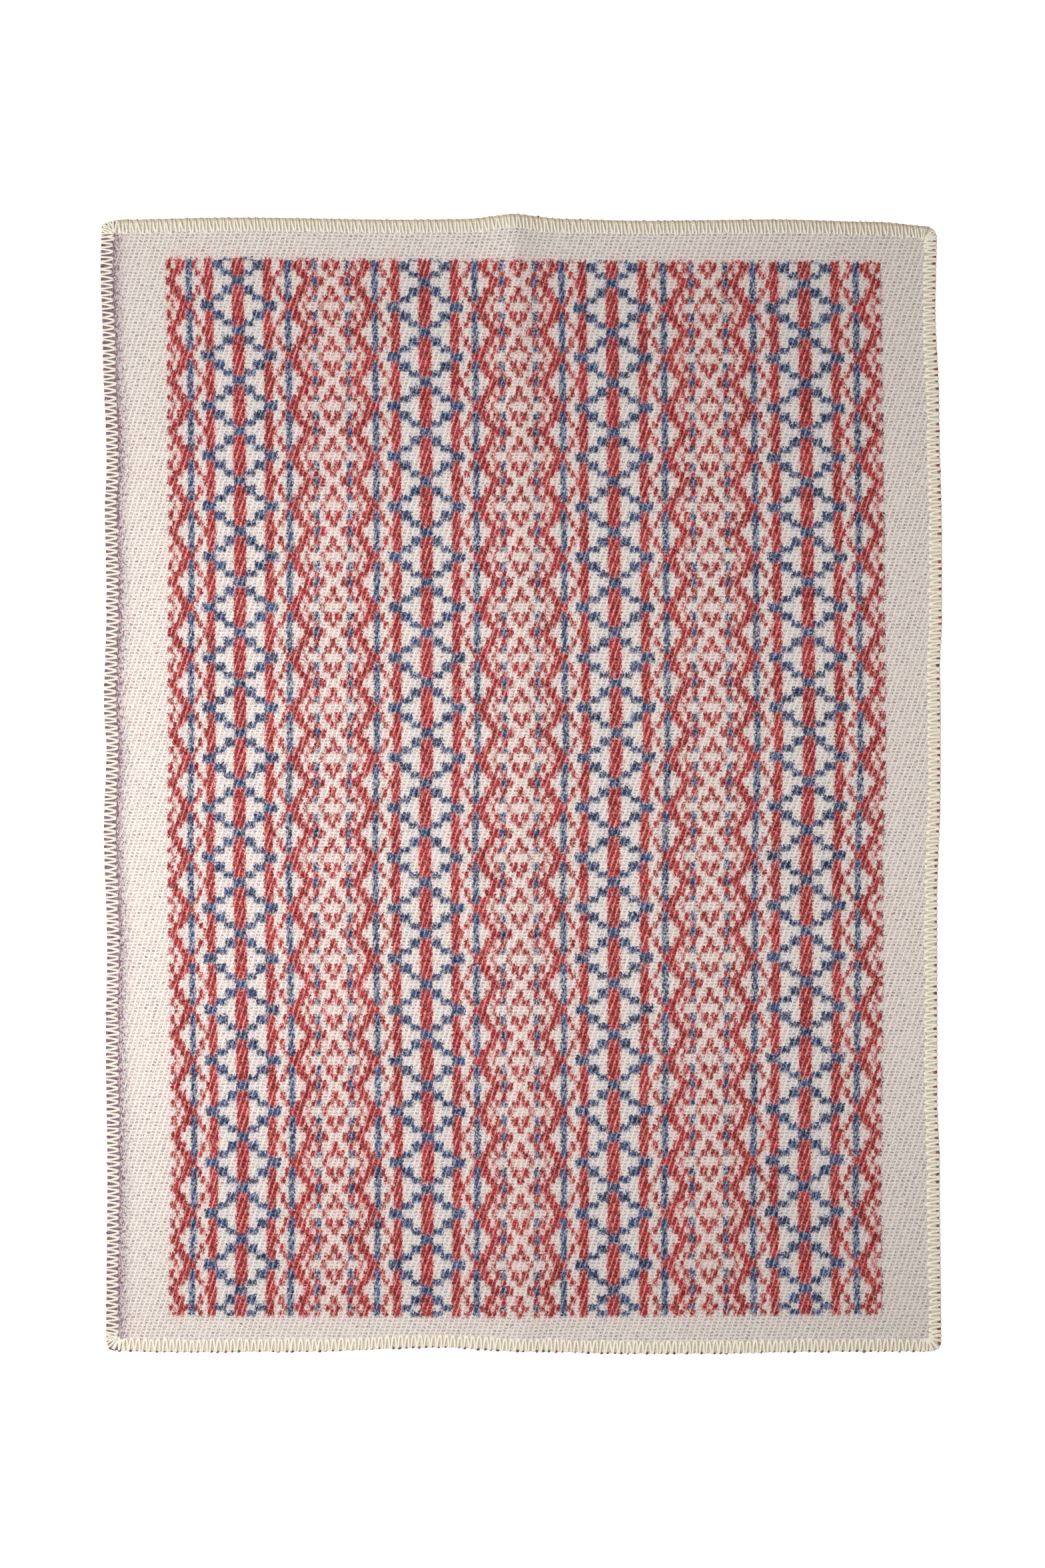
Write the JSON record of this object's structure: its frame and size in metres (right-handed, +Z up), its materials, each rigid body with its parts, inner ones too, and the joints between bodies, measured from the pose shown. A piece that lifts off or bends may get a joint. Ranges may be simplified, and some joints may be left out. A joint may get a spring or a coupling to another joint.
{
  "type": "baby blanket",
  "caption": "Flat woven baby blanket with a band of small geometric figures, a plain cream margin and an overlocked yarn edge, with one soft storage crease along its middle.",
  "frame": {"origin": "middle of the underside of the blanket's box, on the surface it lies on", "axes": "+Z up out of the patterned face, +Y along the blanket towards the end where the crease stands highest, +X across it"},
  "size_m": [0.67, 0.9042, 0.0142],
  "materials": {
    "cloth": "brushed double-faced weave, cream ground with red and navy figures",
    "edging_yarn": "matt two-ply ivory yarn, overlocked"
  },
  "bodies": {
    "root": {"blanket_cloth": "cloth", "edging_top": "edging_yarn", "edging_right": "edging_yarn", "edging_bottom": "edging_yarn", "edging_left": "edging_yarn"}
  },
  "joints": []
}
